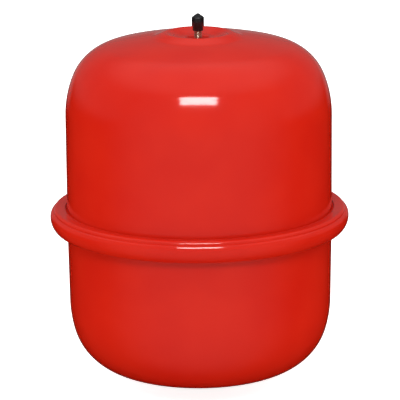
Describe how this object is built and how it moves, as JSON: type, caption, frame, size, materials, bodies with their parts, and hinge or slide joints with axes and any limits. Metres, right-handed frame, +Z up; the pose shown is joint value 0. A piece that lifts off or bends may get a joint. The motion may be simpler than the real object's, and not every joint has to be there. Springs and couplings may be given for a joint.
{
  "type": "expansion vessel",
  "caption": "Closed steel diaphragm expansion vessel: two deep-drawn red shells clenched together by a rolled ring, gas valve with screw cap on top and a threaded water connection below.",
  "frame": {"origin": "on the vessel's axis, at the outer end of the water connection's thread, which is the lowest point of the vessel", "axes": "+Z up along the vessel's axis, from the water connection to the gas valve; X and Y across it, with one corner of the cap's six-sided grip on +X"},
  "size_m": [0.3068, 0.3068, 0.3903],
  "materials": {
    "red_paint": "glossy red stoving paint over deep-drawn sheet steel",
    "black_rubber": "moulded synthetic rubber, satin",
    "zinc_steel": "zinc-plated turned steel",
    "nickel_brass": "nickel-plated turned brass",
    "core_brass": "plain turned brass",
    "white_seal": "natural PTFE, satin",
    "spring_steel": "drawn stainless spring wire",
    "black_plastic": "moulded black plastic, half gloss"
  },
  "bodies": {
    "vessel": {"gas_shell": "red_paint", "water_shell": "red_paint", "clench_ring": "red_paint", "diaphragm": "black_rubber", "water_connection": "zinc_steel", "valve_stem": "nickel_brass", "valve_seal": "black_rubber", "valve_washer": "zinc_steel", "valve_nut": "nickel_brass", "core_plug": "core_brass", "core_barrel": "core_brass", "barrel_seal": "white_seal", "core_spring": "spring_steel"},
    "cap_liner": {"cap_seal": "black_rubber"},
    "cap": {"valve_cap": "black_plastic"},
    "valve_pin": {"core_pin": "core_brass", "pin_collar": "core_brass", "pin_cup": "core_brass", "pin_seal": "black_rubber"}
  },
  "joints": [
    {"name": "cap_rise", "type": "slide", "parent": "vessel", "child": "cap_liner", "axis": [0, 0, 1], "range_m": [0, 0.00635]},
    {"name": "cap_turn", "type": "hinge", "parent": "cap_liner", "child": "cap", "pos_m": [0, 0, 0.3841], "axis": [0, 0, 1], "range_deg": [0, 2881]},
    {"name": "valve_pin_press", "type": "slide", "parent": "vessel", "child": "valve_pin", "axis": [0, 0, -1], "range_m": [0, 0.0012], "stiffness_N_per_m": 1200, "springref_m": -0.002, "deforming": ["core_spring"]}
  ],
  "couplings": [
    {"joint": "cap_turn", "follows": "cap_rise", "rad_per_m": 7915.8}
  ]
}
